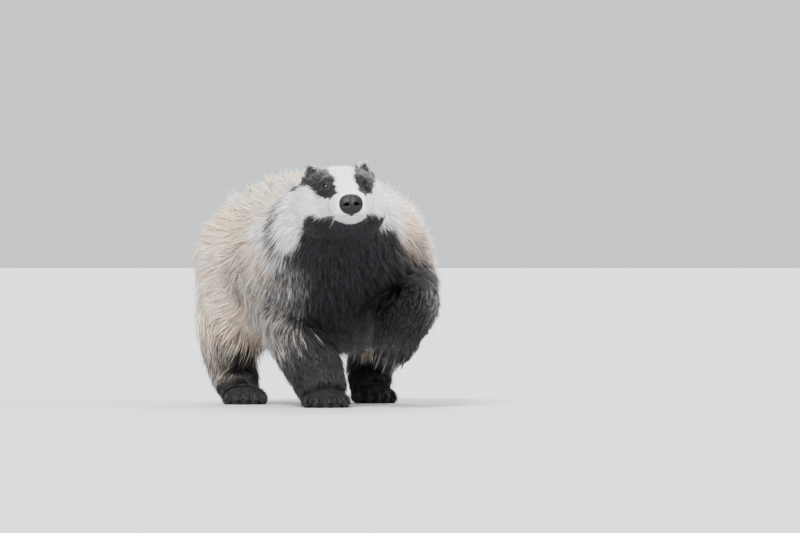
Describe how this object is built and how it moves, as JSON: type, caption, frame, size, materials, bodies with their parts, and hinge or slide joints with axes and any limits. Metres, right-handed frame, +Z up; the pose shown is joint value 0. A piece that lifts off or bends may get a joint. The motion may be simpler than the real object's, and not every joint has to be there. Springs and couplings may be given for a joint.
{
  "type": "european badger",
  "caption": "European badger in full winter coat, trotting with its left forepaw lifted and its head held level, standing on its other three feet.",
  "frame": {"origin": "on the ground, under the middle of the bounding box", "axes": "+Z up, -Y the way the animal faces, +X to its left side"},
  "size_m": [0.329, 0.8618, 0.3173],
  "materials": {
    "long_coat": "long bristly coat, cream grey with dark bands and pale tips",
    "dark_coat": "dense black-brown coat",
    "face_coat": "short coat, white with two black stripes",
    "nose_skin": "bare pebbled skin, moist",
    "eye": "wet and shining",
    "claw_horn": "worn horn"
  },
  "bodies": {
    "root": {"torso": "long_coat", "neck": "long_coat", "tail": "long_coat", "foreleg_left": "dark_coat", "foreleg_right": "dark_coat", "hindleg_left": "dark_coat", "hindleg_right": "dark_coat", "ear_left": "dark_coat", "ear_right": "dark_coat", "head": "face_coat", "nose": "nose_skin", "eye_left": "eye", "eye_right": "eye", "claw_fore_left_1": "claw_horn", "claw_fore_left_2": "claw_horn", "claw_fore_left_3": "claw_horn", "claw_fore_left_4": "claw_horn", "claw_fore_left_5": "claw_horn", "claw_fore_right_1": "claw_horn", "claw_fore_right_2": "claw_horn", "claw_fore_right_3": "claw_horn", "claw_fore_right_4": "claw_horn", "claw_fore_right_5": "claw_horn", "claw_hind_left_1": "claw_horn", "claw_hind_left_2": "claw_horn", "claw_hind_left_3": "claw_horn", "claw_hind_left_4": "claw_horn", "claw_hind_left_5": "claw_horn", "claw_hind_right_1": "claw_horn", "claw_hind_right_2": "claw_horn", "claw_hind_right_3": "claw_horn", "claw_hind_right_4": "claw_horn", "claw_hind_right_5": "claw_horn"}
  },
  "joints": []
}
